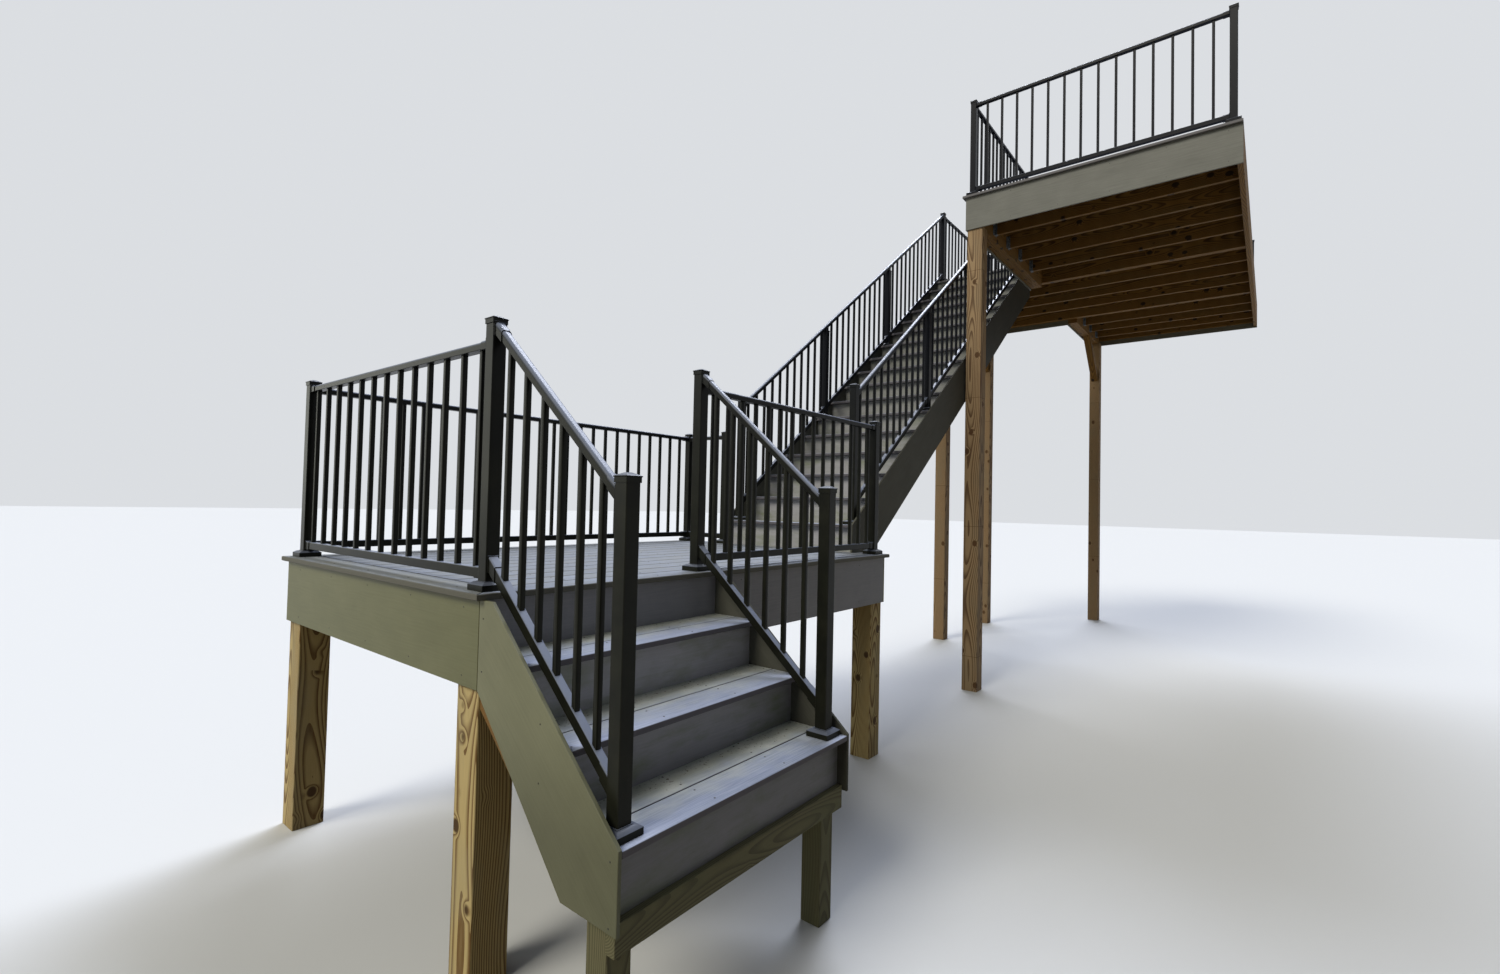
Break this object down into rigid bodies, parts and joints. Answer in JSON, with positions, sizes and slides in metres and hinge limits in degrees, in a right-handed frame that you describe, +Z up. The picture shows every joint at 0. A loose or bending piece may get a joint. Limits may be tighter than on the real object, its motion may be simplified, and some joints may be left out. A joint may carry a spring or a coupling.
{
  "type": "deck stairs",
  "caption": "L shaped outdoor deck stair: short flight to a railed landing, long flight up to a raised timber deck on posts, black metal balusters",
  "frame": {"origin": "centre of the underside of the landing post at the front left corner, on the lowest ground", "axes": "+X is the way the long flight climbs, +Y is the way the short flight climbs, +Z is up"},
  "size_m": [10.384, 3.808, 5.55],
  "materials": {
    "deck_board": "grey wood composite boards, brushed grain, matt",
    "fascia_board": "grey green composite fascia boards, embossed grain, matt",
    "skirt_board": "grey composite skirt boards, embossed grain, matt",
    "riser_board": "grey composite riser boards, matt",
    "post_timber": "pressure treated pine, sawn, unpainted",
    "frame_timber": "pressure treated pine framing, sawn, unpainted",
    "black_metal": "black powder coated aluminium, satin",
    "galvanised": "galvanised sheet steel, dull"
  },
  "bodies": {
    "root": {"lower_stringers": "frame_timber", "lower_risers": "riser_board", "lower_treads": "deck_board", "lower_skirt_left": "skirt_board", "lower_skirt_right": "skirt_board", "kick_board": "frame_timber", "foot_posts": "post_timber", "landing_frame": "frame_timber", "landing_decking": "deck_board", "landing_border": "deck_board", "landing_fascia_front": "fascia_board", "landing_fascia_left": "fascia_board", "landing_fascia_rear": "fascia_board", "landing_fascia_right": "fascia_board", "landing_post_front_left": "post_timber", "landing_post_front_right": "post_timber", "landing_post_rear_left": "post_timber", "landing_post_rear_right": "post_timber", "upper_stringers": "frame_timber", "upper_risers": "riser_board", "upper_treads_low": "deck_board", "upper_treads_high": "deck_board", "upper_skirt_left": "skirt_board", "upper_skirt_right": "skirt_board", "deck_beams": "frame_timber", "deck_ledger": "frame_timber", "deck_joists": "frame_timber", "bay_joists": "frame_timber", "joist_hangers": "galvanised", "deck_decking": "deck_board", "bay_decking": "deck_board", "deck_fascia_front": "fascia_board", "deck_fascia_stair": "fascia_board", "deck_fascia_bay": "fascia_board", "deck_fascia_rear": "fascia_board", "deck_post_front": "post_timber", "deck_post_stair": "post_timber", "deck_post_bay": "post_timber", "deck_post_rear": "post_timber", "knee_braces": "post_timber", "stair_newels": "black_metal", "landing_newels": "black_metal", "upper_newels_left": "black_metal", "upper_newels_right": "black_metal", "deck_newels": "black_metal", "lower_rail_left": "black_metal", "lower_rail_right": "black_metal", "landing_rail_left": "black_metal", "landing_rail_rear": "black_metal", "landing_rail_front": "black_metal", "landing_rail_right": "black_metal", "upper_rail_left": "black_metal", "upper_rail_right": "black_metal", "deck_rail_front": "black_metal", "deck_rail_stair": "black_metal", "deck_rail_bay": "black_metal", "deck_rail_rear": "black_metal"}
  },
  "joints": []
}
